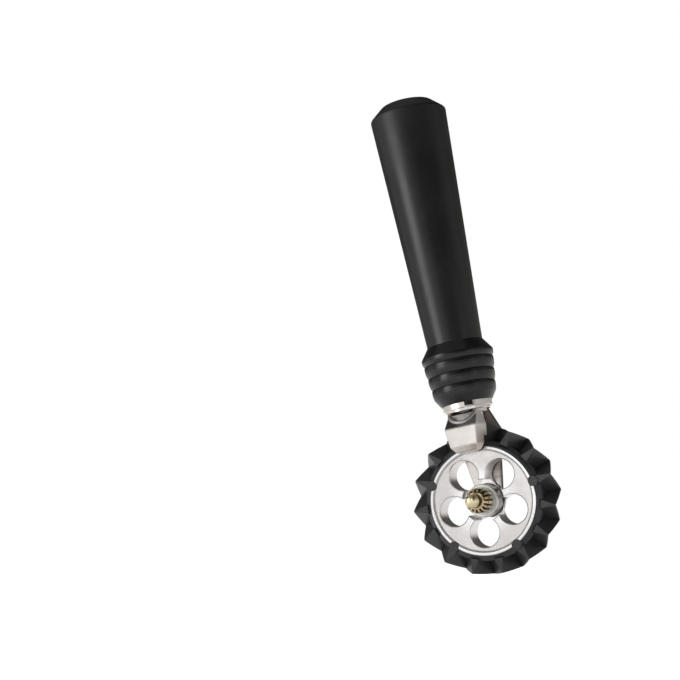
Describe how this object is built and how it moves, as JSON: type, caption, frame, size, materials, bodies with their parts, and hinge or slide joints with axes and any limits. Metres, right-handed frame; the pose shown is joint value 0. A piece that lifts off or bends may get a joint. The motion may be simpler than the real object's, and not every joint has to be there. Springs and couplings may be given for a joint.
{
  "type": "pastry wheel",
  "caption": "Hand-held pastry wheel: a tapered grip with a ribbed collar carries a bracket in which a hub with a zigzag cutting ring spins on a knurled thumb screw.",
  "frame": {"origin": "middle of the grip, on the handle's axis", "axes": "+Z along the handle towards its free end; the wheel turns about Y, with the knob and the front plate facing -Y; +X to the right when looking at the knob"},
  "size_m": [0.062, 0.042, 0.2075],
  "materials": {
    "black_anodised": "black satin anodised",
    "bright_metal": "bright satin nickel",
    "hub_aluminium": "satin",
    "ring_black": "satin",
    "brass": "polished",
    "steel": "turned",
    "bearing_plastic": "matte"
  },
  "bodies": {
    "frame": {"handle": "black_anodised", "ribbed_collar": "black_anodised", "tie_stud": "steel", "bracket": "bright_metal", "axle_sleeve": "steel", "rear_washer": "steel"},
    "wheel": {"hub": "hub_aluminium", "cutting_ring": "ring_black", "front_bush": "bearing_plastic", "rear_bush": "bearing_plastic"},
    "knob_carrier": {"knob_washer": "steel"},
    "knob": {"thumb_knob": "brass", "axle_screw": "steel"}
  },
  "joints": [
    {"name": "wheel_spin", "type": "hinge", "parent": "frame", "child": "wheel", "pos_m": [0, 0, -0.122], "axis": [0, -1, 0], "continuous": true},
    {"name": "knob_travel", "type": "slide", "parent": "frame", "child": "knob_carrier", "axis": [0, -1, 0], "range_m": [0, 0.0021]},
    {"name": "knob_turn", "type": "hinge", "parent": "knob_carrier", "child": "knob", "pos_m": [0, 0, -0.122], "axis": [0, -1, 0], "range_deg": [0, 1080]}
  ],
  "couplings": [
    {"joint": "knob_turn", "follows": "knob_travel", "rad_per_m": 8975}
  ]
}
